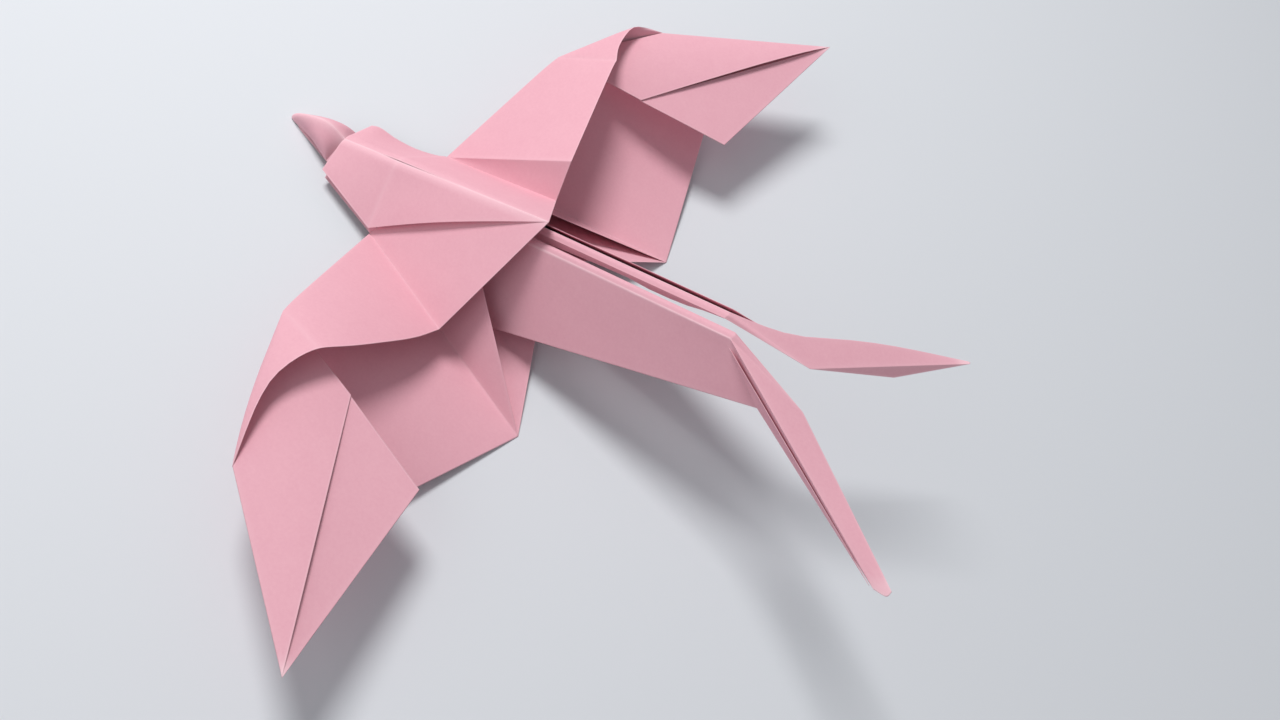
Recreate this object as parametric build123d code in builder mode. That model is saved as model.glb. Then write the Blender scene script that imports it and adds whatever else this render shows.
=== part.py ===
# Origami swallow: one square sheet of coloured paper, folded and cut, lying as it comes to rest.
# Lengths are in millimetres. Corners are given in the bird's own frame: x forward from the tail
# root to the beak, y out to the side, z up from the ridge of the back. The last step pitches that
# frame until the beak and the two lower wing corners touch the table.
import math
import os
from build123d import *

# Sheet
sheet_side = 200.0          # the square before it is folded
paper = 0.1                 # thickness of one layer
fold_radius = 0.6 * paper   # outside radius of a pressed fold

# Back and head
back_length = 59.4          # tail root to collar, along the ridge
back_half_width = 14.3      # ridge to shoulder, sideways
back_drop = 9.2             # shoulder below the ridge
shoulder_forward = 42.6     # tail root to shoulder, along the ridge
collar_half_width = 8.9
collar_drop = 2.6
layer_drop = 1.6            # second body layer below the first, at the shoulder
beak_length = 17.0
beak_lift = 0.5
brow_forward = 8.0          # highest point of the beak's ridge, in front of the collar
brow_lift = 2.6
cheek_half_width = 4.9
cheek_drop = 3.1
cheek_forward = 3.3         # cheek corner in front of the collar
throat_back = 2.0           # inner end of the head, behind the collar
tuck_depth = 0.15           # how far the wing reaches in under the back, as a share of the wing crease

# Wing corners: forward of the tail root, out from the ridge and up from it
crease = (12.7, 28.3, -12.4)        # wing root crease at the trailing edge
elbow = (32.0, 48.8, 1.6)
elbow_rear = (18.2, 53.3, 2.5)      # rear end of the elbow crease
wrist = (18.4, 78.8, -5.0)
wing_tip = (-15.1, 105.3, -15.7)
notch = (12.5, 54.2, -8.8)          # where the slit of the wing tip starts
lower_corner = (-8.5, 31.2, -35.4)  # lower rear corner of the wing
panel_corner = (1.2, 63.3, -28.0)   # outer rear corner of the lower panel, under the wing tip
roll_radius = 1.6                   # soft roll of the leading edge, half way along
roll_steps = 4                      # flats that the roll is made of
half_lift = 0.35                    # wing tip halves above the layer they are folded from
half_overlap = 0.5                  # outer half past the slit
under_length = 40.0                 # folded edge that runs inwards from the lower corner
under_slope = (0.56, -0.52, 0.645)
inner_length = 34.0                 # free edge of the lowest layer
inner_slope = (0.40, -0.88, 0.26)

# Tail: two crests side by side over two sloping sides, cut apart behind the body
slot_half_width = 0.9       # half of the open slot between the crests, at its front end
slot_spread = 0.5           # how much further each crest stands out at its rear end
crest_width = 2.0
crest_front = (17.0, -5.2)  # forward, up
crest_rear = (-45.0, -8.6)
groove = 1.0                # between a crest and the outer layer beside it
leg_front = 4.2             # crest down to the cut edge, at the front and at the rear end
leg_rear = 1.6
cut_start = -18.0           # where the cut between the tail halves begins
side_front = (11.0, 15.9, -23.9)    # bottom fold of the tail side, front end
side_rear = (-56.4, 9.0, -19.5)     # bottom fold of the tail side, at the bend
prong_leaf = (-63.9, 5.5, -18.6)    # inner corner of the prong
left_prong_tip = (-96.0, 29.7, -29.4)
right_prong_tip = (-87.5, 30.7, -27.7)
prong_tip_width = 3.0
neck_front = 30.0           # the tail hangs from the ridge between these two places
neck_rear = 22.0

# Worked out from the sheet: a wing tip is a kite with a 45 degree point and a right angle inside.
slit_length = sheet_side * (1 - 1 / math.sqrt(2))
kite_side = slit_length * math.tan(math.radians(22.5))


def panel(*corners):
    """One flat layer of paper through the given corners."""
    along, across = corners[1] - corners[0], corners[-1] - corners[0]
    face_plane = Plane(origin=corners[0], x_dir=along, z_dir=along.cross(across))
    flat = [face_plane.to_local_coords(corner) for corner in corners]
    with BuildPart(mode=Mode.PRIVATE) as leaf:
        with BuildSketch(face_plane):
            with BuildLine():
                Polyline(*[(point.X, point.Y) for point in flat], close=True)
            make_face()
        extrude(amount=paper / 2, both=True)
    return leaf.part


def fold(start, end):
    """The round outside of a pressed fold between two corners."""
    along = end - start
    with BuildPart(Plane(origin=(start + end) * 0.5, z_dir=along), mode=Mode.PRIVATE) as bend:
        Cylinder(fold_radius, along.length)
    return bend.part


def sheet(panels, folds):
    """Layers joined along their folds."""
    return [panel(*corners) for corners in panels] + [fold(*ends) for ends in folds]


def step_from(start, direction, distance):
    return start + direction.normalized() * distance


def below(point, distance):
    return point - Vector(0, 0, distance)


def roll_points(near_end, far_end, upper, lower):
    """Points round a soft roll, from the upper layer to the lower one, half way along the edge."""
    middle, axis = (near_end + far_end) * 0.5, (far_end - near_end).normalized()
    up = (upper - middle) - axis * (upper - middle).dot(axis)
    down = (lower - middle) - axis * (lower - middle).dot(axis)
    half_angle = math.radians(up.get_angle(down)) / 2
    inward = (up.normalized() + down.normalized()).normalized()
    upward = (up.normalized() - down.normalized()).normalized()
    centre = middle + inward * (roll_radius / math.sin(half_angle))
    sweep_angle = math.pi / 2 - half_angle
    points = []
    for step in range(roll_steps + 1):
        angle = sweep_angle * (1 - 2 * step / roll_steps)
        points.append(centre + (upward * math.sin(angle) - inward * math.cos(angle)) * roll_radius)
    return points


def body(at):
    """Back, second layer and head on one side."""
    root, crown, mid_ridge = at(0, 0, 0), at(back_length, 0, 0), at(shoulder_forward, 0, 0)
    collar = at(back_length, collar_half_width, -collar_drop)
    shoulder = at(shoulder_forward, back_half_width, -back_drop)
    wing_root = below(shoulder, layer_drop)
    under_collar = below(collar, layer_drop)
    tuck = root + (wing_root - root) * (1 - tuck_depth / 3) - (at(*crease) - root) * tuck_depth
    bill = at(back_length + beak_length, 0, beak_lift)
    brow = at(back_length + brow_forward, 0, brow_lift)
    cheek = at(back_length + cheek_forward, cheek_half_width, -cheek_drop)
    throat = at(back_length - throat_back, cheek_half_width + 0.7, -cheek_drop - 2)
    return sheet(
        [
            (root, mid_ridge, shoulder), (mid_ridge, crown, collar), (mid_ridge, collar, shoulder),
            (mid_ridge, crown, under_collar), (mid_ridge, under_collar, wing_root),
            (root, shoulder, tuck), (root, tuck, wing_root, at(*crease)),
            (crown, brow, cheek), (brow, bill, cheek), (crown, cheek, throat),
        ],
        [
            (root, mid_ridge), (mid_ridge, crown), (mid_ridge, shoulder), (mid_ridge, collar),
            (mid_ridge, under_collar), (root, shoulder), (root, tuck), (crown, brow), (brow, bill),
            (brow, cheek), (crown, cheek),
        ],
    )


def wing(at):
    """Cape, rolled edge, wing tip and the layers under them on one side."""
    root = at(0, 0, 0)
    wing_root = at(shoulder_forward, back_half_width, -back_drop - layer_drop)
    second_root = below(wing_root, layer_drop)
    bend, bend_rear, hand, tip = at(*elbow), at(*elbow_rear), at(*wrist), at(*wing_tip)
    slit = at(*notch)
    flap_corner = step_from(bend, slit - bend, 2 * kite_side)
    corner, outer_corner = at(*lower_corner), at(*panel_corner)
    under_end = step_from(corner, at(*under_slope), under_length)
    inner_end = step_from(corner, at(*inner_slope), inner_length)
    panels = [
        (wing_root, bend, at(*crease)), (bend, bend_rear, at(*crease)),
        (slit, tip, hand), (slit, flap_corner, tip),
        (wing_root, bend, corner), (bend, outer_corner, corner),
        (corner, wing_root, under_end), (corner, under_end, second_root), (corner, second_root, inner_end),
    ]
    folds = [
        (root, wing_root), (wing_root, at(*crease)), (bend, at(*crease)), (bend, bend_rear), (slit, hand),
        (slit, tip), (bend, flap_corner), (tip, hand), (tip, flap_corner), (wing_root, bend), (bend, corner),
        (corner, wing_root), (corner, under_end), (corner, second_root),
    ]

    # The leading edge is pinched at the elbow and the wrist and rolls softly between them.
    roll = roll_points(bend, hand, bend_rear, slit)
    panels += [(bend, bend_rear, hand, roll[0]), (bend, slit, hand, roll[-1])]
    for here, beyond in zip(roll, roll[1:]):
        panels += [(bend, here, beyond), (hand, here, beyond)]

    # Two halves lie on the wing tip and meet at the slit, the outer one a little over the inner one.
    up = (flap_corner - tip).cross(hand - tip).normalized()
    up = up if up.Z > 0 else up * -1
    inner_edge = slit + up * half_lift
    outer_edge = step_from(slit, flap_corner - slit, half_overlap) + up * 2 * half_lift
    panels += [(outer_edge, tip, hand), (inner_edge, flap_corner, tip)]
    return sheet(panels, folds)


def tail(at, prong_tip):
    """Half of the tail: outer layer, crest, cut edge and prong on one side."""
    rear_end, point, leaf = at(*side_rear), at(*prong_tip), at(*prong_leaf)
    front_end = at(*side_front)
    slot = (slot_half_width, slot_half_width + slot_spread)
    inner = [at(x, y, z) for (x, z), y in zip((crest_front, crest_rear), slot)]
    outer = [place + at(0, crest_width, 0) for place in inner]
    foot = [below(place, leg) for place, leg in zip(inner, (leg_front, leg_rear))]
    rim = [place + at(0, groove, -groove) for place in outer]
    uncut = (crest_front[0] - cut_start) / (crest_front[0] - crest_rear[0])
    cut = foot[0] + (foot[1] - foot[0]) * uncut
    middle = [at(place.X, 0, place.Z) for place in (foot[0], cut)]
    hang = [at(x, 0, 0) for x in (neck_front, neck_rear)]
    tip_out = step_from(point, rear_end - leaf, prong_tip_width / 2)
    tip_in = step_from(point, leaf - rear_end, prong_tip_width / 2)
    return sheet(
        [
            (rim[0], rim[1], rear_end), (rim[0], rear_end, front_end),
            (outer[0], outer[1], rear_end), (outer[0], rear_end, front_end),
            (outer[0], outer[1], inner[1], inner[0]), (inner[0], inner[1], foot[1], foot[0]),
            (foot[0], cut, middle[1], middle[0]),
            (rim[1], tip_out, rear_end), (outer[1], tip_out, rear_end), (outer[1], tip_out, tip_in),
            (outer[1], tip_in, leaf), (outer[1], leaf, inner[1]),
            (hang[0], hang[1], outer[0]), (hang[1], outer[0], inner[0]),
        ],
        [
            (rim[0], rear_end), (outer[0], rear_end), (front_end, rear_end), (outer[0], outer[1]),
            (inner[0], inner[1]), (foot[0], cut), (middle[0], middle[1]), (rim[1], rear_end),
            (outer[1], rear_end), (rear_end, tip_out), (outer[1], tip_out), (tip_out, tip_in), (outer[1], tip_in),
            (outer[1], leaf), (outer[1], inner[1]),
            (hang[1], outer[0]), (outer[0], inner[0]),
        ],
    )


def half_bird(side, prong_tip):
    """Every layer on one side of the ridge; side is 1 for the left and -1 for the right."""

    def at(x, y, z):
        return Vector(x, side * y, z)

    return body(at) + wing(at) + tail(at, prong_tip)


with BuildPart() as folded:
    add(half_bird(1, left_prong_tip) + half_bird(-1, right_prong_tip))

# Pitched until the beak is as low as the lower wing corners, then stood on the table.
beak_above_corner = beak_lift - lower_corner[2]
corner_to_beak = back_length + beak_length - lower_corner[0]
pitch = math.degrees(math.atan2(beak_above_corner, corner_to_beak))
swallow = Rotation(0, pitch, 0) * folded.part
box = swallow.bounding_box()
swallow = Pos(-box.center().X, -box.center().Y, -box.min.Z) * swallow
swallow.label = "swallow"

os.makedirs("parts", exist_ok=True)
export_step(swallow, "parts/swallow.step")
print("solids", len(swallow.solids()), "valid", swallow.is_valid, "volume", round(swallow.volume, 1))
print("size", box.size, "pitch", round(pitch, 2), "moved", round(-box.center().X, 2), round(-box.min.Z, 2))
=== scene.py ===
import math

import bmesh
import bpy
from mathutils import Matrix, Vector


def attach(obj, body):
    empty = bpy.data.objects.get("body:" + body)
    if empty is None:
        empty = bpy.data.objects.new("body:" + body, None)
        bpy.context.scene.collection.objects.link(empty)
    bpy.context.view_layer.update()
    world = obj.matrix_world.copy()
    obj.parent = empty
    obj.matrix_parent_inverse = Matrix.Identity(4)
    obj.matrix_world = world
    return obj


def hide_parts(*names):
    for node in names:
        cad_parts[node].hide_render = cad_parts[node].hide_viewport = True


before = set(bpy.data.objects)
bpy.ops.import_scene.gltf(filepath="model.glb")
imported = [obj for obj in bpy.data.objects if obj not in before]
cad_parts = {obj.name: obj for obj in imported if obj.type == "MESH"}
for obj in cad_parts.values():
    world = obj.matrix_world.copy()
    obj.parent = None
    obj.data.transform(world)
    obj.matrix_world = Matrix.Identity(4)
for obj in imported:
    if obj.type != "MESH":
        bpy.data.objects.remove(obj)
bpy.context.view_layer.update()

# Everything on the bird is written in millimetres in the bird's own frame: x forward from the tail
# root to the beak, y out to the left wing, z up from the ridge of the back. It lies nose down.
pose = {
    "noseDown": 22.916,  # degrees
    "shift": (15.25, 0.0, 29.354),  # from the bird's tail root to the middle of the table, mm
}
mm = 0.001


def turned(v):  # a direction of the bird's frame, lying on the table
    a = math.radians(pose["noseDown"])
    return Vector((v[0] * math.cos(a) + v[2] * math.sin(a), v[1], v[2] * math.cos(a) - v[0] * math.sin(a)))


def placed(v):  # a point of the bird's frame, lying on the table, in metres
    return (turned(v) + Vector(pose["shift"])) * mm


class Plug:
    # A socket that works in Python expressions: every operator adds its Math node.
    def __init__(self, tree, socket=None):
        self.tree = tree
        self.socket = socket

    def make(self, kind, settings=None, inputs=None, pick=0):
        node = self.tree.nodes.new(kind)
        for name, value in (settings or {}).items():
            setattr(node, name, value)
        for name, value in (inputs or {}).items():
            if isinstance(value, Plug):
                self.tree.links.new(value.socket, node.inputs[name])
            else:
                node.inputs[name].default_value = value
        return Plug(self.tree, node.outputs[pick] if len(node.outputs) else None)

    def math(self, operation, a, b=0.0, clamp=False):
        return self.make("ShaderNodeMath", {"operation": operation, "use_clamp": clamp}, {0: a, 1: b})

    def __add__(self, other):
        return self.math("ADD", self, other)

    __radd__ = __add__

    def __sub__(self, other):
        return self.math("SUBTRACT", self, other)

    def __rsub__(self, other):
        return self.math("SUBTRACT", other, self)

    def __mul__(self, other):
        return self.math("MULTIPLY", self, other)

    __rmul__ = __mul__

    def __truediv__(self, other):
        return self.math("DIVIDE", self, other)

    def __rtruediv__(self, other):
        return self.math("DIVIDE", other, self)

    def __pow__(self, other):
        return self.math("POWER", self, other)

    def __rpow__(self, other):
        return self.math("POWER", other, self)

    def held(self):  # kept between 0 and 1
        return self.math("ADD", self, 0.0, clamp=True)


fold = {
    "thickness": 0.1,  # paper, mm
    "stops": (0.0, 0.006, 0.018, 0.045, 0.09, 0.15, 0.22, 0.31, 0.4, 0.5,
              0.6, 0.69, 0.78, 0.85, 0.91, 0.955, 0.982, 0.994, 1.0),  # where the lines of a layer run
    "curveSteps": 60,  # for each stretch of a curve
    "rounds": 2,  # how often a fold is softened
    "softWidth": 0.35,  # within this distance of it, mm
    "farAway": 9.0,  # distances to folds and edges are measured up to here, mm
    "creaseReach": 5,  # a soft crease ends at this many times its width
}


def curveThrough(points):
    # Points evenly along a smooth curve through the given ones, at the stops of a layer.
    ends = [points[0] * 2 - points[1], *points, points[-1] * 2 - points[-2]]
    fine = []
    for i in range(1, len(ends) - 2):
        p0, p1, p2, p3 = ends[i - 1:i + 3]
        for step in range(fold["curveSteps"]):
            t = step / fold["curveSteps"]
            fine.append(0.5 * (2 * p1 + (p2 - p0) * t + (2 * p0 - 5 * p1 + 4 * p2 - p3) * t * t
                               + (3 * p1 - p0 - 3 * p2 + p3) * t ** 3))
    fine.append(points[-1].copy())
    run = [0.0]
    for a, b in zip(fine, fine[1:]):
        run.append(run[-1] + (b - a).length)
    out = []
    k = 0
    for stop in fold["stops"]:
        want = stop * run[-1]
        while k < len(fine) - 2 and run[k + 1] < want:
            k += 1
        share = (want - run[k]) / max(run[k + 1] - run[k], 1e-9)
        out.append(fine[k].lerp(fine[k + 1], min(max(share, 0.0), 1.0)))
    return out


class Sheet:
    # The layers of one side of the bird. Layers that name the same two corners share that fold.
    def __init__(self, corners, curves):
        self.corners = {name: Vector(place) for name, place in corners.items()}
        self.curves = curves
        self.mesh = bmesh.new()
        self.crease = self.mesh.verts.layers.float.new("creaseDistance")
        self.edge = self.mesh.verts.layers.float.new("edgeDistance")
        self.folds = {}
        self.layers = []
        self.softCreases = []

    def side(self, a, b):
        via = self.curves.get((a, b))
        points = [self.corners[a], *(Vector(p) for p in via)] if via else [self.corners[a]]
        if via is None and (b, a) in self.curves:
            points = [self.corners[a], *(Vector(p) for p in reversed(self.curves[(b, a)]))]
        points.append(self.corners[b])
        if len(points) == 2:
            return [points[0].lerp(points[1], stop) for stop in fold["stops"]]
        return curveThrough(points)

    def layer(self, a, b, c, d=None, bulge=0.0):
        # a, b, c and d run round the layer. A layer of three corners closes on c. The factor 16
        # makes its middle stand out by the whole bulge.
        d = d or c
        count = len(fold["stops"])
        low, high = self.side(a, b), ([self.corners[c]] * count if c == d else self.side(d, c))
        left, right = self.side(a, d), self.side(b, c)
        pa, pb, pc, pd = (self.corners[n] for n in (a, b, c, d))
        normal = (pc - pa).cross(pd - pb) if c != d else (pb - pa).cross(pc - pa)
        normal.normalize()
        if normal.z < 0:
            normal.negate()
        grid = []
        for j, v in enumerate(fold["stops"]):
            row = []
            for i, u in enumerate(fold["stops"]):
                p = (low[i] * (1 - v) + high[i] * v + left[j] * (1 - u) + right[j] * u
                     - (pa * (1 - u) * (1 - v) + pb * u * (1 - v) + pc * u * v + pd * (1 - u) * v))
                p = p + normal * (bulge * 16 * u * (1 - u) * v * (1 - v))
                row.append(p)
            grid.append(row)
        self.put(grid, {(a, b): low, (b, c): right, (d, c): high, (a, d): left})

    def put(self, grid, sides):
        # One vertex per point of the grid. sides gives the edges that other layers may share.
        count = len(grid)
        verts = [[self.mesh.verts.new(p) for p in row] for row in grid]
        for j in range(count - 1):
            for i in range(count - 1):
                self.mesh.faces.new((verts[j][i], verts[j][i + 1], verts[j + 1][i + 1], verts[j + 1][i]))
        rows = (verts[0], [row[-1] for row in verts], verts[-1], [row[0] for row in verts])
        found = []
        for (names, line), row in zip(sides.items(), rows):
            if names[0] == names[1]:
                continue
            keyed = row if names[0] < names[1] else row[::-1]
            self.folds.setdefault(tuple(sorted(names)), []).append(keyed)
            found.append((tuple(sorted(names)), line))
        self.layers.append((verts, found))

    def soften(self):
        # A soft crease bends over a few millimetres instead of along a line.
        for a, b, way, width in self.softCreases:
            run = b - a
            for vert in self.mesh.verts:
                t = min(max((vert.co - a).dot(run) / run.length_squared, 0.0), 1.0)
                d = (vert.co - a - run * t).length
                reach = width * fold["creaseReach"]
                if d < reach:
                    vert.co += way * ((math.sqrt(d * d + width * width) - d) * (1 - d / reach))

    def finish(self):
        # Distances first, then shared folds become one line of vertices and are softened.
        for verts, found in self.layers:
            for row in verts:
                for vert in row:
                    nearest = {True: fold["farAway"], False: fold["farAway"]}  # folds, cut edges
                    for names, line in found:
                        shared = len(self.folds[names]) > 1
                        for p, q in zip(line, line[1:]):
                            run = q - p
                            if run.length < 1e-7:
                                continue
                            t = min(max((vert.co - p).dot(run) / run.length_squared, 0.0), 1.0)
                            nearest[shared] = min(nearest[shared], (vert.co - p - run * t).length)
                    vert[self.crease] = nearest[True]
                    vert[self.edge] = nearest[False]
        joined = {}

        def last(vert):
            while vert in joined:
                vert = joined[vert]
            return vert

        def join(one, other):
            one, other = last(one), last(other)
            if one is not other:
                joined[other] = one

        for verts, found in self.layers:  # a side that closes on a corner is one vertex
            for row in (*verts, *([r[i] for r in verts] for i in range(len(verts)))):
                for one, other in zip(row, row[1:]):
                    if (one.co - other.co).length < 1e-6:
                        join(one, other)
        for rows in self.folds.values():
            for other in rows[1:]:
                for one, two in zip(rows[0], other):
                    join(one, two)
        targets = {vert: last(vert) for vert in list(joined)}
        bmesh.ops.weld_verts(self.mesh, targetmap=targets)
        bmesh.ops.dissolve_degenerate(self.mesh, dist=1e-6, edges=self.mesh.edges)
        self.soften()
        soft = [v for v in self.mesh.verts if v[self.crease] < fold["softWidth"] and not v.is_boundary]
        for again in range(fold["rounds"]):
            bmesh.ops.smooth_vert(self.mesh, verts=soft, factor=0.5,
                                  use_axis_x=True, use_axis_y=True, use_axis_z=True)
        return self.mesh


wing = {
    "elbow": (32.0, 48.8, 1.6),
    "elbowRear": (17.6, 53.4, 2.5),
    "tip": (-15.1, 105.3, -15.7),
    "notch": (12.5, 54.2, -8.8),  # inner end of the slit
    "flapCorner": (-8.5, 60.5, -19.3),
    "lowerCorner": (-8.5, 31.2, -35.4),
    "rollRise": 3.2,  # how far the soft leading edge turns up, mm
    "rollDepth": 1.5,
    "rollBow": 1.2,  # upper layer between the leading edge and its rear edge
    "swell": 0.75,  # the roll opens quickly from its pinched ends
    "rollSkew": 1.5,  # and bows most nearer to its outer end
    "rollPull": 0.45,  # how round its upper and its lower half are
    "rollTurn": 0.55,
    "softElbow": 2.6,  # width over which the elbow crease bends
    "elbowSag": (0, 0.05, -0.22),  # and how it gives way
    "outerStart": 0.04,  # share of the way from elbow to notch where the outer half begins
    "tuck": (0.95, 0.15),  # inner end of the pleat: along the wing's root, back from the cape
    "underSlope": (0.56, -0.52, 0.645),  # layers turned in under the body, from the lower corner
    "underReach": 40,
    "innerReach": 34,
    "bows": (0.3, 0.2),  # cape, lower panel
    "halfLift": 0.35,  # wing tip halves above the layer they are folded from
    "halfOverlap": 0.5,  # outer half past the slit
    "seamRun": ((0.3, 0.6), (0.6, 1.0), (0.85, 0.8)),  # its edge stands up: share of the way, of the lift
}
back = {
    "length": 59.4,
    "shoulder": (42.6, 14.3, -9.2),
    "layerDrop": 1.6,  # second layer below the first at its outer edge
    "ridgeDrop": 0.5,  # and at the ridge
    "slit": 0.1,  # half of the slit along the ridge, at its widest
    "slitEnds": (27.0, 52.0),  # the slit opens between these two places
    "shut": 0.04,  # elsewhere the halves overlap by this much
    "fall": 0.25,  # second layer above the wing at the shoulder
    "bows": (0.15, 0.1),  # rear and front panel
    "ridgeTop": ((0.8, 0.08), (1.7, -0.08), (2.4, -0.6), (3.4, -1.35)),  # rounded beside the slit: out, up
    "collarTop": ((0.8, 0.05), (1.7, -0.1), (2.6, -0.42)),
    "underDrop": 2.5,  # second layer below the first at the collar
}
head = {
    "beak": (76.36, 0.0, 0.5),
    "cheek": (61.6, 5.5, -3.3),
    "throat": (57.4, 5.6, -5.1),
    "ridge": ((63.0, 0.0, 3.2), (67.4, 0.0, 3.6), (72.5, 0.0, 2.7), (75.3, 0.0, 1.5)),
    "sheenAndWear": 0.8,  # painted sheen along the beak's ridge
    "underCollar": (0, 0, -0.15),  # the beak comes out below the crown
    "lowCrown": (0, 0, -2.0),  # its second layer, from the corners of the first
    "lowBill": (-1.6, 0, -0.5),
    "lowCheek": (-0.6, 0.1, -0.9),
}
tail = {
    "slot": 0.9,  # half of the open slot between the crests, at its front end
    "crest": 2.0,  # width of a crest
    "front": (17.0, -5.2),  # front end of the crest: forward, up
    "rearHeight": -8.6,
    "crestRise": (0.75, 0.38),  # the crest is rounded at its front and rear end
    "crestEnd": (0.0, -0.5),  # and its rear end bows to the rear
    "tipRound": 1.1,  # a prong 3 mm wide stands out by this at its round end, others in proportion
    "neckFront": (30, 0, -0.9),  # strip from the crests into the body
    "neckRear": (22, 0, -0.9),
    "rimShift": (0, -0.3, 0.8),  # the outer layer of a prong runs this far inside its upper edge
    "rimEnd": (0.45, 1.0, 0.4),  # the outer layer of a prong ends here: out, back from the tip, down
    "sideFront": (11.0, 15.9, -23.9),
    "sideRear": (-56.4, 9.0, -19.5),
}
near = {  # what the left side has for itself
    "side": 1,
    "jaw": ((75.6, 0.7, 0.35), (71.8, 1.6, -0.8), (68.2, 2.7, -1.2)),
    "jawLow": ((73.4, 1.35, -0.7), (71.4, 2.1, -1.4), (68.3, 3.1, -2.3)),  # edge of the layer below
    "collar": (59.4, 8.9, -2.6),
    "rootDrop": 1.6,  # wing below the back at the shoulder
    "beakBulge": 1.3,
    "capeCorner": (13.5, 26.3, -16.6),
    "capeEdge": ((13.1, 33.6, -11.9), (14.1, 41.9, -5.9), (15.4, 48.3, -1.2)),
    "creaseSag": 0.1,  # how far the layer between back and wing crease bows
    "backRear": (),
    "backSide": ((14.2, 4.7, -2.3), (28.4, 9.5, -5.2)),  # lower edge of the back, a little open
    "ridgeSheenAndWear": 1.0,  # painted sheen along the ridge, full strength on this side
    "wrist": (17.5, 80.5, -5.2),
    "panelCorner": (1.2, 63.3, -28.0),  # outer rear corner of the lower panel, under the wing tip
    "rollOut": 0.4,  # how far the leading edge bows outwards, mm
    "seamLift": 1.0,  # edge of the outer wing tip half above the inner one
    "backEdge": (),
    "leg": (4.2, 1.6),  # crest down to the cut edge, at the front and at the rear end
    "legEdge": (),
    "slotRear": (-47.0, 1.5),  # forward, out: rear end of the crest's inner edge
    "groove": (0.8, 1.6),  # the outer layer beside the crest: out, down
    "prongTip": (-95.0, 29.2, -29.1),
    "tipWidth": 3.4,
    "prongLeaf": (-65.3, 6.0, -18.5),
    "innerSlope": (0.40, -0.88, 0.26),  # the innermost layer leaves the lower corner this way
    "rollEdge": ((18.7, 56.6, 2.7), (19.6, 59.9, 2.6), (20.2, 63.4, 2.1),
                 (20.1, 66.5, 1.2), (19.7, 69.6, 0.1), (18.7, 74.4, -2.0)),
    "prongUpper": (),
    "flapLow": None,
}
far = {  # and the right side, mirrored
    "side": -1,
    "jaw": (),
    "jawLow": (),
    "collar": (59.2, 8.7, -2.1),
    "rootDrop": 0.3,
    "beakBulge": 1.0,
    "capeCorner": (7.8, 19.6, -0.7),
    "backRear": (9.3, 14.0, -9.0),  # the back runs on to here and turns up into the wing
    "backSide": (),
    # painted sheen along the ridge, weaker on this side
    "ridgeSheenAndWear": 0.25,
    "capeEdge": (),
    "creaseSag": -0.2,
    "wrist": (19.3, 76.8, -4.8),
    "panelCorner": (4.6, 74.5, -25.4),
    "rollOut": 0.5,
    "seamLift": 1.3,
    "backEdge": ((57.2, 9.5, -2.6), (54.0, 10.4, -5.2), (49.8, 12.0, -7.9), (45.5, 13.6, -9.3)),
    "leg": (3.0, 0.1),
    "legEdge": ((-15.9, 0.9, -8.3), (-23.7, 0.9, -9.3), (-32.4, 0.9, -9.6), (-37.9, 0.9, -8.9)),
    "slotRear": (-43.0, 0.9),
    "groove": (1.5, 0.5),
    "prongTip": (-87.2, 30.5, -27.6),
    "tipWidth": 0.9,
    "prongLeaf": (-61.4, 4.8, -18.3),
    "innerSlope": (0.287, -0.78, 0.56),
    "rollEdge": ((20.4, 59.3, 2.2), (22.2, 67.4, 1.3), (22.0, 72.5, -1.4)),
    "prongUpper": ((-50.6, 5.8, -12.2), (-56.6, 8.9, -14.9), (-63.7, 15.0, -17.6), (-73.1, 21.9, -21.5)),
    "flapLow": (-75.5, 16.9, -25.4),  # the far prong is folded under along its lower edge
}


def stepFrom(start, direction, distance):
    return Vector(start) + Vector(direction).normalized() * distance


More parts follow.
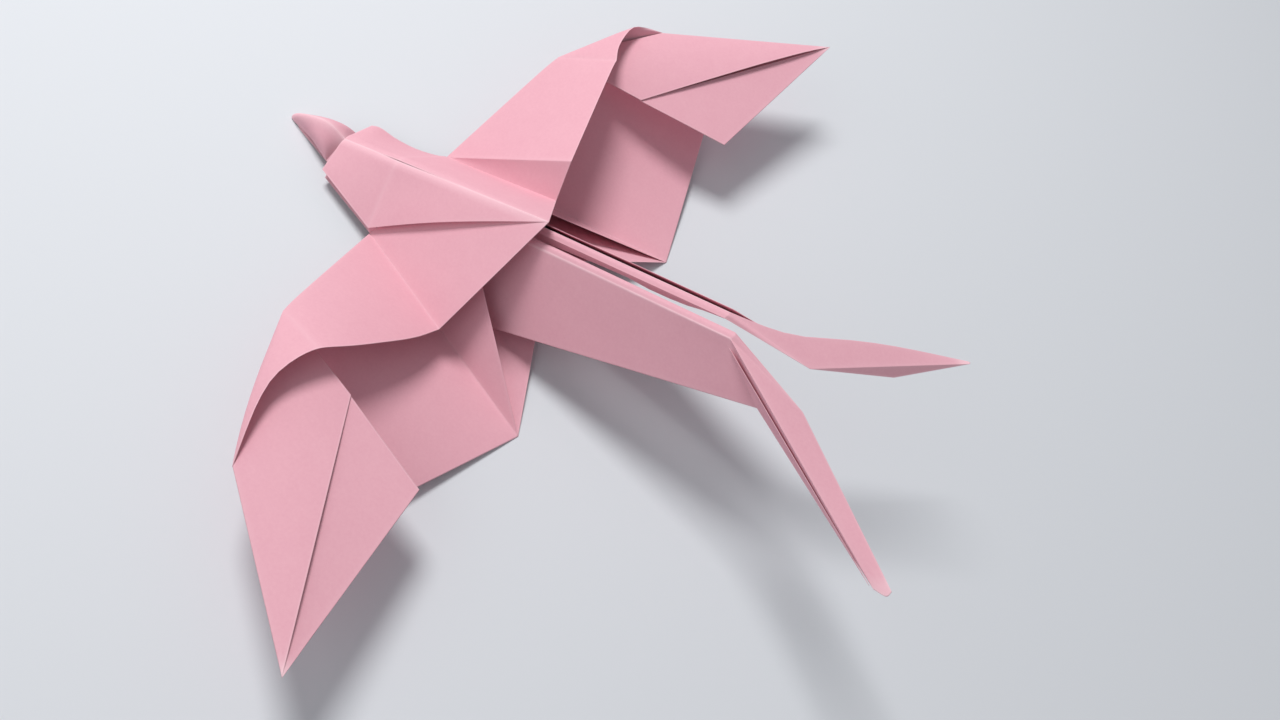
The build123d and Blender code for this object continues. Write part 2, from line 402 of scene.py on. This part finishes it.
def foldedSide(own):
    drop = Vector((0, 0, back["layerDrop"]))
    shoulder, collar = Vector(back["shoulder"]), Vector(own["collar"])
    root, crown = Vector((0, 0, 0)), Vector((back["length"], 0, 0))
    midRidge = Vector((shoulder.x, 0, 0))
    ridgeLow = Vector((0, 0, back["ridgeDrop"]))
    wingRoot = shoulder - Vector((0, 0, own["rootDrop"]))
    cape = Vector(own["capeCorner"])
    tuck = root + (wingRoot - root) * wing["tuck"][0] - (cape - root) * wing["tuck"][1]
    elbow, tip, wrist = Vector(wing["elbow"]), Vector(wing["tip"]), Vector(own["wrist"])
    notch, flapCorner, lowerCorner = (Vector(wing[n]) for n in ("notch", "flapCorner", "lowerCorner"))
    panelCorner = Vector(own["panelCorner"])
    up = (flapCorner - tip).cross(wrist - tip).normalized()
    if up.z < 0:
        up.negate()
    lift = up * wing["halfLift"]
    corners = {
        "root": root, "crown": crown - Vector((0, back["shut"], 0)),
        "midRidge": midRidge + Vector((0, back["slit"], 0)),
        "collar": collar, "shoulder": shoulder, "wingRoot": wingRoot, "tuck": tuck,
        "underMid": midRidge - ridgeLow, "underCrown": crown - ridgeLow,
        "underCollar": collar - Vector((0, 0, back["underDrop"])),
        "underShoulder": shoulder - drop + Vector((0, 0, back["fall"])),
        "cape": cape, "elbow": elbow, "elbowRear": Vector(wing["elbowRear"]), "wrist": wrist, "tip": tip,
        "flapCorner": flapCorner, "lowerCorner": lowerCorner, "panelCorner": panelCorner,
        "outerNotch": stepFrom(notch, flapCorner - notch, wing["halfOverlap"]) + lift * 2,
        "outerElbow": elbow + (notch - elbow) * wing["outerStart"] + lift,
        "innerNotch": notch + lift,
        "underEnd": stepFrom(lowerCorner, wing["underSlope"], wing["underReach"]),
        "secondRoot": shoulder - drop * 2,
        "innerEnd": stepFrom(lowerCorner, own["innerSlope"], wing["innerReach"]),
    }
    x0, z0 = tail["front"]
    (x1, slotRear), z1 = own["slotRear"], tail["rearHeight"]
    slot, crest = tail["slot"], tail["crest"]
    out, down = own["groove"]
    sideRear, leaf, point = Vector(tail["sideRear"]), Vector(own["prongLeaf"]), Vector(own["prongTip"])
    corners.update({
        "crestFront": (x0, slot + crest, z0), "crestRear": (x1, slotRear + crest, z1),
        "innerFront": (x0, slot, z0), "innerRear": (x1, slotRear, z1),
        "footFront": (x0, slot, z0 - own["leg"][0]), "footRear": (x1, slotRear, z1 - own["leg"][1]),
        "rimFront": (x0, slot + crest + out, z0 - down), "rimRear": (x1, slotRear + crest + out, z1 - down),
        "sideFront": tail["sideFront"], "sideRear": sideRear, "prongLeaf": leaf,
        "tipOut": stepFrom(point, sideRear - leaf, own["tipWidth"] / 2),
        "tipIn": stepFrom(point, leaf - sideRear, own["tipWidth"] / 2),
        "neckFront": tail["neckFront"], "neckRear": tail["neckRear"],
    })
    corners.update({
        "bill": head["beak"], "cheek": head["cheek"], "throat": head["throat"],
        "headCrown": crown + Vector(head["underCollar"]), "headLow": crown + Vector(head["lowCrown"]),
        "billLow": Vector(head["beak"]) + Vector(head["lowBill"]),
        "cheekLow": Vector(head["cheek"]) + Vector(head["lowCheek"]),
        "backRear": own["backRear"] or root, "flapLow": own["flapLow"] or leaf,
    })
    middle = {}
    for name, behind, rise in zip(("Front", "Rear"), tail["crestEnd"], tail["crestRise"]):
        outerLine, innerLine = Vector(corners[f"crest{name}"]), Vector(corners[f"inner{name}"])
        middle[name] = (outerLine + innerLine) / 2 + Vector((behind, 0, rise))
    wide, behind, lower = tail["rimEnd"]
    rimTip = stepFrom(stepFrom(corners["tipOut"], sideRear - leaf, wide), leaf - point, behind)
    corners["tipRim"] = rimTip - Vector((0, 0, lower))
    blunt = (point - (sideRear + leaf) / 2).normalized() * tail["tipRound"] * own["tipWidth"] / 3
    curves = {
        ("midRidge", "shoulder"): [(shoulder.x, out, up) for out, up in back["ridgeTop"]],
        ("crown", "collar"): [(crown.x, out, up) for out, up in back["collarTop"]],
        ("root", "midRidge"): [(back["slitEnds"][0], -back["shut"] / 2, 0.0)],
        ("midRidge", "crown"): [(back["slitEnds"][1], -back["shut"] / 2, 0.0)],
        ("outerNotch", "tip"): [corners["outerNotch"].lerp(tip, share) + up * own["seamLift"] * rise
                                for share, rise in wing["seamRun"]],
        ("cape", "elbowRear"): list(own["capeEdge"]),
        ("elbowRear", "wrist"): list(own["rollEdge"]),
        ("collar", "shoulder"): list(own["backEdge"]),
        ("root", "shoulder"): list(own["backSide"]),
        ("bill", "cheek"): list(own["jaw"]),
        ("billLow", "cheekLow"): list(own["jawLow"]),
        ("headCrown", "bill"): list(head["ridge"]),
        ("crestRear", "tipOut"): list(own["prongUpper"]),
        ("rimRear", "tipRim"): [Vector(p) - Vector(tail["rimShift"]) for p in own["prongUpper"]],
        ("crestFront", "innerFront"): [middle["Front"]],
        ("crestRear", "innerRear"): [middle["Rear"]],
        ("footFront", "footRear"): list(own["legEdge"]),
        ("tipOut", "tipIn"): [point + blunt],
    }
    sheet = Sheet(corners, curves)
    # Back, its second layer and the pleat under its lower edge, then the head
    rearBow, frontBow = back["bows"]
    if own["backRear"]:
        sheet.layer("root", "midRidge", "shoulder", "backRear", bulge=rearBow)
        sheet.layer("backRear", "shoulder", "wingRoot", "cape", bulge=own["creaseSag"])
    else:
        sheet.layer("root", "midRidge", "shoulder", bulge=rearBow)
        sheet.layer("root", "shoulder", "tuck")
        sheet.layer("shoulder", "wingRoot", "tuck")
        sheet.layer("root", "tuck", "wingRoot", "cape", bulge=own["creaseSag"])
    sheet.layer("midRidge", "crown", "collar", "shoulder", bulge=frontBow)
    sheet.layer("underMid", "underCrown", "underCollar", "underShoulder")
    sheet.layer("headCrown", "bill", "cheek", bulge=own["beakBulge"])
    sheet.layer("headCrown", "cheek", "throat")
    sheet.layer("headLow", "billLow", "cheekLow")
    # Wing
    capeBow, panelBow = wing["bows"]
    sheet.layer("wingRoot", "elbow", "elbowRear", "cape", bulge=capeBow)
    sheet.layer("wingRoot", "elbow", "panelCorner", "lowerCorner", bulge=panelBow)
    sheet.layer("outerElbow", "wrist", "tip", "outerNotch")
    sheet.layer("innerNotch", "flapCorner", "tip")
    rolledEdge(sheet, "elbow", "wrist", "elbowRear", "flapCorner", own["rollOut"])
    sheet.softCreases.append((elbow, sheet.corners["elbowRear"], Vector(wing["elbowSag"]), wing["softElbow"]))
    # Layers that turn in under the body
    sheet.layer("lowerCorner", "wingRoot", "underEnd")
    sheet.layer("lowerCorner", "underEnd", "secondRoot")
    sheet.layer("lowerCorner", "secondRoot", "innerEnd")
    # Tail
    sheet.layer("rimFront", "rimRear", "sideRear", "sideFront")
    sheet.layer("crestFront", "crestRear", "sideRear", "sideFront")
    sheet.layer("crestFront", "crestRear", "innerRear", "innerFront")
    sheet.layer("innerFront", "innerRear", "footRear", "footFront")
    sheet.layer("rimRear", "tipRim", "sideRear")
    sheet.layer("crestRear", "tipOut", "sideRear")
    sheet.layer("crestRear", "tipOut", "tipIn", "prongLeaf")
    sheet.layer("crestRear", "prongLeaf", "innerRear")
    if own["flapLow"]:
        sheet.layer("prongLeaf", "tipIn", "flapLow")
    sheet.layer("neckFront", "neckRear", "innerFront", "crestFront")
    return sheet


def cubic(t):  # shares of a Bezier curve's four points
    return (1 - t) ** 3, 3 * t * (1 - t) ** 2, 3 * t * t * (1 - t), t ** 3


def rolledEdge(sheet, inner, outer, upperCorner, lowerCorner, rollOut):
    # The leading edge is pinched at both ends and rolls softly between them, from the rear edge
    # of the upper layer over the nose and back into the wing tip layer.
    pinch, end = sheet.corners[inner], sheet.corners[outer]
    axis = (end - pinch).normalized()
    toUpper = sheet.corners[upperCorner] - pinch
    toLower = sheet.corners[lowerCorner] - pinch
    toUpper = (toUpper - axis * toUpper.dot(axis)).normalized()
    toLower = (toLower - axis * toLower.dot(axis)).normalized()
    inward = (toUpper + toLower).normalized()
    upward = (toUpper - toLower).normalized()
    stops = fold["stops"]
    rear = sheet.side(upperCorner, outer)
    inside = sheet.side(inner, upperCorner)

    def swell(u):
        return math.sin(math.pi * u) ** wing["swell"] if 0 < u < 1 else 0.0

    over, under, bottom = [], [], []
    for i, u in enumerate(stops):
        nose = pinch.lerp(end, u) - inward * rollOut * math.sin(math.pi * u ** wing["rollSkew"])
        edge = rear[i]
        rise, depth = upward * wing["rollRise"] * swell(u), wing["rollDepth"] * swell(u)
        bow = upward * wing["rollBow"] * swell(u)
        pull = [nose, nose + rise, edge.lerp(nose, wing["rollPull"]) + bow, edge]
        over.append([sum((share * q for share, q in zip(cubic(v), pull)), Vector()) for v in stops])
        low = nose + inward * depth - upward * depth
        pull = [nose, nose - upward * depth * wing["rollTurn"], low - inward * depth * wing["rollPull"], low]
        under.append([sum((share * q for share, q in zip(cubic(v), pull)), Vector()) for v in stops])
        bottom.append(low)
    turnedOver = [list(row) for row in zip(*over)]
    turnedUnder = [list(row) for row in zip(*under)]
    sheet.put(turnedOver, {("nose", "noseEnd"): turnedOver[0], (outer, outer): turnedOver[0],
                           (upperCorner, outer): rear, (inner, upperCorner): inside})
    sheet.put(turnedUnder, {("nose", "noseEnd"): turnedUnder[0], (outer, outer): turnedOver[0],
                            ("rollLow", "rollLowEnd"): bottom, (inner, inner): turnedOver[0]})
    tipLine = sheet.side(lowerCorner, "tip")
    low = [[bottom[i].lerp(tipLine[i], v) for i in range(len(stops))] for v in stops]
    sheet.put(low, {("rollLow", "rollLowEnd"): bottom, (outer, "tip"): [row[-1] for row in low],
                    (lowerCorner, "tip"): tipLine, (inner, lowerCorner): [row[0] for row in low]})


pale = {  # where the paper is painted pale: a painted sheen along the ridge, a painted highlight on the cut edge beside the crest; the tips are worn pale
    "ridgeWidth": 2.1,  # out from the ridge, mm
    "ridgeDepth": -1.3,  # lowest point of the painted sheen band
    "ridgeRear": -0.5,
    "cutWidth": 0.25,  # painted highlight on the cut edge beside the crest
    "tipWear": 1.8,
    "tips": ((wing["tip"], 4.0), (head["beak"], 3.0)),  # and how far from each tip
    "prongReach": 3.5,
}
points, faces, distances = [], [], {"creaseDistance": [], "edgeDistance": [], "ridgeSheenAndWear": []}
for own in (near, far):
    sheet = foldedSide(own)
    mesh = sheet.finish()
    for vert in mesh.verts:
        x, y, z = vert.co
        # A painted sheen along the ridge and the beak's top, strongest on the left side, a painted highlight
        # on the cut edge beside the crest, and tips worn pale.
        onRidge = z > pale["ridgeDepth"] and x > pale["ridgeRear"]
        sheenAndWear = max(0.0, 1 - y / pale["ridgeWidth"]) if onRidge else 0.0
        sheenAndWear *= own["ridgeSheenAndWear"] if x < back["length"] else head["sheenAndWear"]
        front = sheet.corners["crestFront"]
        run = sheet.corners["crestRear"] - front
        along = min(max((vert.co - front).dot(run) / run.length_squared, 0.0), 1.0)
        if (vert.co - front - run * along).length < pale["cutWidth"]:
            sheenAndWear = 1.0
        for place, reach in (*pale["tips"], (own["prongTip"], pale["prongReach"])):
            sheenAndWear = max(sheenAndWear, pale["tipWear"] * (1 - (vert.co - Vector(place)).length / reach))
        distances["ridgeSheenAndWear"].append(min(sheenAndWear, 1.0))
    for vert in mesh.verts:
        vert.co.y *= own["side"]
    bmesh.ops.recalc_face_normals(mesh, faces=mesh.faces)
    mesh.verts.index_update()
    first = len(points)
    points += [placed(vert.co) for vert in mesh.verts]
    faces += [[first + vert.index for vert in face.verts] for face in mesh.faces]
    distances["creaseDistance"] += [vert[sheet.crease] for vert in mesh.verts]
    distances["edgeDistance"] += [vert[sheet.edge] for vert in mesh.verts]
    mesh.free()
    print("folded side", own["side"], len(points), "points so far")
swallowMesh = bpy.data.meshes.new("swallowPaper")
swallowMesh.from_pydata(points, [], faces)
for name, values in distances.items():
    swallowMesh.attributes.new(name, "FLOAT", "POINT").data.foreach_set("value", values)
swallow = bpy.data.objects.new("swallowPaper", swallowMesh)
bpy.context.scene.collection.objects.link(swallow)
for polygon in swallowMesh.polygons:
    polygon.use_smooth = True
print("sheet", len(swallowMesh.polygons), "faces")

paper = {
    "colour": (0.82, 0.44, 0.505),
    "wearAndHighlight": (0.93, 0.62, 0.67),  # paler colour: worn fibres along a fold, and the painted highlights and sheen
    "shade": (0.72, 0.33, 0.41),  # darker flecks
    "grainScale": 1500.0,
    "flockScale": 260.0,
    "cloudScale": 38.0,
    "flecks": 0.55,  # strongest share of the darker colour
    "foldWearAndHighlightWidth": 1.7,  # mm from the fold: worn fibres and a painted highlight
    "cutEdgeHighlightWidth": 0.45,  # and the painted highlight from a cut edge
    "roughness": 0.82,
    "specular": 0.3,
    "bumpStrength": 0.35,
    "bumpHeight": 0.00006,  # m
}


def paperMaterial():
    material = bpy.data.materials.new("pinkPaper")
    material.use_nodes = True
    tree = material.node_tree
    tree.nodes.clear()
    start = Plug(tree)
    place = start.make("ShaderNodeTexCoord", pick="Object")
    grain = start.make("ShaderNodeTexNoise", inputs={
        "Vector": place, "Scale": paper["grainScale"], "Detail": 3.0, "Roughness": 0.6})
    flock = start.make("ShaderNodeTexNoise", inputs={
        "Vector": place, "Scale": paper["flockScale"], "Detail": 4.0, "Roughness": 0.65})
    cloud = start.make("ShaderNodeTexNoise", inputs={
        "Vector": place, "Scale": paper["cloudScale"], "Detail": 2.0})
    creaseDistance = start.make("ShaderNodeAttribute", {"attribute_name": "creaseDistance"}, pick="Fac")
    edgeDistance = start.make("ShaderNodeAttribute", {"attribute_name": "edgeDistance"}, pick="Fac")
    # Fold band: paler worn fibres and a painted highlight.
    line = (1 - creaseDistance / paper["foldWearAndHighlightWidth"]).held() ** 2
    # Cut edges: an even painted highlight.
    cutEdgeHighlight = (1 - edgeDistance / paper["cutEdgeHighlightWidth"]).held()
    # Painted sheen along the ridge, painted highlight on the crest's cut edge, and the worn tips.
    ridgeSheenAndWear = start.make("ShaderNodeAttribute", {"attribute_name": "ridgeSheenAndWear"}, pick="Fac")
    # Folds show their worn fibres in flecks with a painted highlight, cut edges an even painted highlight,
    # and the ridge's painted sheen and the worn tips most.
    wearAndHighlight = (line * (0.04 + flock * 0.22) + cutEdgeHighlight * 0.4 + ridgeSheenAndWear * (0.25 + flock * 0.5)).held()
    speckle = ((grain - 0.5) * 1.1 + (flock - 0.5) * 0.7 + (cloud - 0.5) * 0.5 + 0.42).held()
    base = start.make("ShaderNodeMix", {"data_type": "RGBA"}, {
        0: speckle * paper["flecks"], 6: (*paper["colour"], 1), 7: (*paper["shade"], 1)}, pick=2)
    tint = start.make("ShaderNodeMix", {"data_type": "RGBA"}, {
        0: wearAndHighlight, 6: base, 7: (*paper["wearAndHighlight"], 1)}, pick=2)
    height = grain * 0.6 + flock * 0.4 + line * 0.5
    bump = start.make("ShaderNodeBump", inputs={
        "Strength": paper["bumpStrength"], "Distance": paper["bumpHeight"], "Height": height})
    shader = start.make("ShaderNodeBsdfPrincipled", inputs={
        "Base Color": tint, "Roughness": paper["roughness"], "Normal": bump,
        "Specular IOR Level": paper["specular"]})
    start.make("ShaderNodeOutputMaterial", inputs={"Surface": shader})
    return material


pinkPaper = paperMaterial()
swallowMesh.materials.append(pinkPaper)
print("paper material made")

# The sheet waves a little between its folds, less towards them. Height and width are in mm.
wave = {"Wave Height": 0.22, "Wave Scale": 55.0, "Calm Width": 4.0, "Seed": 3.0}


def wavyPaper():
    tree = bpy.data.node_groups.new("wavyPaper", "GeometryNodeTree")
    tree.interface.new_socket("Geometry", in_out="INPUT", socket_type="NodeSocketGeometry")
    for name, value in wave.items():
        tree.interface.new_socket(name, in_out="INPUT", socket_type="NodeSocketFloat").default_value = value
    tree.interface.new_socket("Paper", in_out="INPUT", socket_type="NodeSocketMaterial")
    tree.interface.new_socket("Geometry", in_out="OUTPUT", socket_type="NodeSocketGeometry")
    entry = tree.nodes.new("NodeGroupInput")
    socket = {s.name: Plug(tree, s) for s in entry.outputs if s.name}
    start = Plug(tree)
    crease = start.make("GeometryNodeInputNamedAttribute", {"data_type": "FLOAT"}, {"Name": "creaseDistance"})
    edge = start.make("GeometryNodeInputNamedAttribute", {"data_type": "FLOAT"}, {"Name": "edgeDistance"})
    noise = start.make("ShaderNodeTexNoise", {"noise_dimensions": "4D"}, {
        "W": socket["Seed"], "Scale": socket["Wave Scale"], "Detail": 1.0})
    # Folds stay where they are, and cut edges wave a little.
    calm = (crease / socket["Calm Width"]).held() * (0.35 + edge / socket["Calm Width"]).held()
    amount = (noise - 0.5) * calm * socket["Wave Height"] * 2 * mm
    normal = start.make("GeometryNodeInputNormal")
    offset = start.make("ShaderNodeVectorMath", {"operation": "SCALE"}, {"Vector": normal, "Scale": amount})
    moved = start.make("GeometryNodeSetPosition", inputs={"Geometry": socket["Geometry"], "Offset": offset})
    real = start.make("GeometryNodeRealizeInstances", inputs={"Geometry": moved})
    dressed = start.make("GeometryNodeSetMaterial", inputs={"Geometry": real, "Material": socket["Paper"]})
    leave = tree.nodes.new("NodeGroupOutput")
    tree.links.new(dressed.socket, leave.inputs[0])
    return tree


tree = wavyPaper()
waves = swallow.modifiers.new("waves", "NODES")
waves.node_group = tree
for item in tree.interface.items_tree:
    if item.in_out == "INPUT" and item.name in wave:
        waves[item.identifier] = wave[item.name]
    elif item.in_out == "INPUT" and item.name == "Paper":
        waves[item.identifier] = pinkPaper
thick = swallow.modifiers.new("thick", "SOLIDIFY")
thick.thickness = fold["thickness"] * mm
thick.offset = 0.0
thick.use_rim = True

bpy.context.view_layer.update()
evaluated = swallow.evaluated_get(bpy.context.evaluated_depsgraph_get())
finished = bpy.data.meshes.new_from_object(evaluated)
swallow.modifiers.clear()
swallow.data = finished
swallow.data.name = "swallowPaper"
print("paper finished", len(finished.polygons), "faces", [m.name for m in finished.materials])

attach(swallow, "root")
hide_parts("swallow")

stage = {"size": 6.0, "colour": (0.70, 0.72, 0.75), "roughness": 0.7}
floorMesh = bpy.data.meshes.new("floor")
half = stage["size"] / 2
floorCorners = [(-half, -half, 0), (half, -half, 0), (half, half, 0), (-half, half, 0)]
floorMesh.from_pydata(floorCorners, [], [(0, 1, 2, 3)])
floor = bpy.data.objects.new("floor", floorMesh)
bpy.context.scene.collection.objects.link(floor)
floorMaterial = bpy.data.materials.new("paleFloor")
floorMaterial.use_nodes = True
floorNode = floorMaterial.node_tree.nodes["Principled BSDF"]
floorNode.inputs["Base Color"].default_value = (*stage["colour"], 1)
floorNode.inputs["Roughness"].default_value = stage["roughness"]
floorMesh.materials.append(floorMaterial)

view = {  # the photo's camera, in the bird's frame
    "position": (-128.78, 143.38, 174.39),
    "right": (-0.83988, -0.53894, -0.06439),
    "down": (-0.3747, 0.66155, -0.64958),
    "lens": 33.504,
    "sensor": 36.0,
    "nearest": 0.01,  # m
}
cameraData = bpy.data.cameras.new("camera")
cameraData.sensor_width = view["sensor"]
cameraData.lens = view["lens"]
cameraData.clip_start = view["nearest"]
camera = bpy.data.objects.new("camera", cameraData)
bpy.context.scene.collection.objects.link(camera)
right = turned(view["right"]).normalized()
upright = -turned(view["down"]).normalized()
backward = right.cross(upright)
turn = Matrix((right, upright, backward)).transposed()
camera.matrix_world = Matrix.Translation(placed(view["position"])) @ turn.to_4x4()
bpy.context.scene.camera = camera

lamps = {  # name: (to the right of the picture, up in the picture, towards the camera), size, watts
    "key": ((-0.03, 0.84, 0.54), 0.30, 5.0),
    "fill": ((-0.6, 0.1, 0.8), 0.9, 1.1),
}
lampAim, lampDistance = (0, 0, -10), 0.8
sky = {"colour": (0.93, 0.95, 1.0, 1), "strength": 0.33}
aim = placed(lampAim)
for name, (direction, size, watts) in lamps.items():
    lampData = bpy.data.lights.new(name, "AREA")
    lampData.shape = "DISK"
    lampData.size = size
    lampData.energy = watts
    lamp = bpy.data.objects.new(name, lampData)
    bpy.context.scene.collection.objects.link(lamp)
    away = (right * direction[0] + upright * direction[1] + backward * direction[2]).normalized()
    lamp.location = aim + away * lampDistance
    lamp.rotation_euler = away.to_track_quat("Z", "Y").to_euler()
world = bpy.data.worlds.new("studio")
world.use_nodes = True
world.node_tree.nodes["Background"].inputs["Color"].default_value = sky["colour"]
world.node_tree.nodes["Background"].inputs["Strength"].default_value = sky["strength"]
bpy.context.scene.world = world
bpy.context.scene.view_settings.view_transform = "Standard"
print("floor, light and camera set")
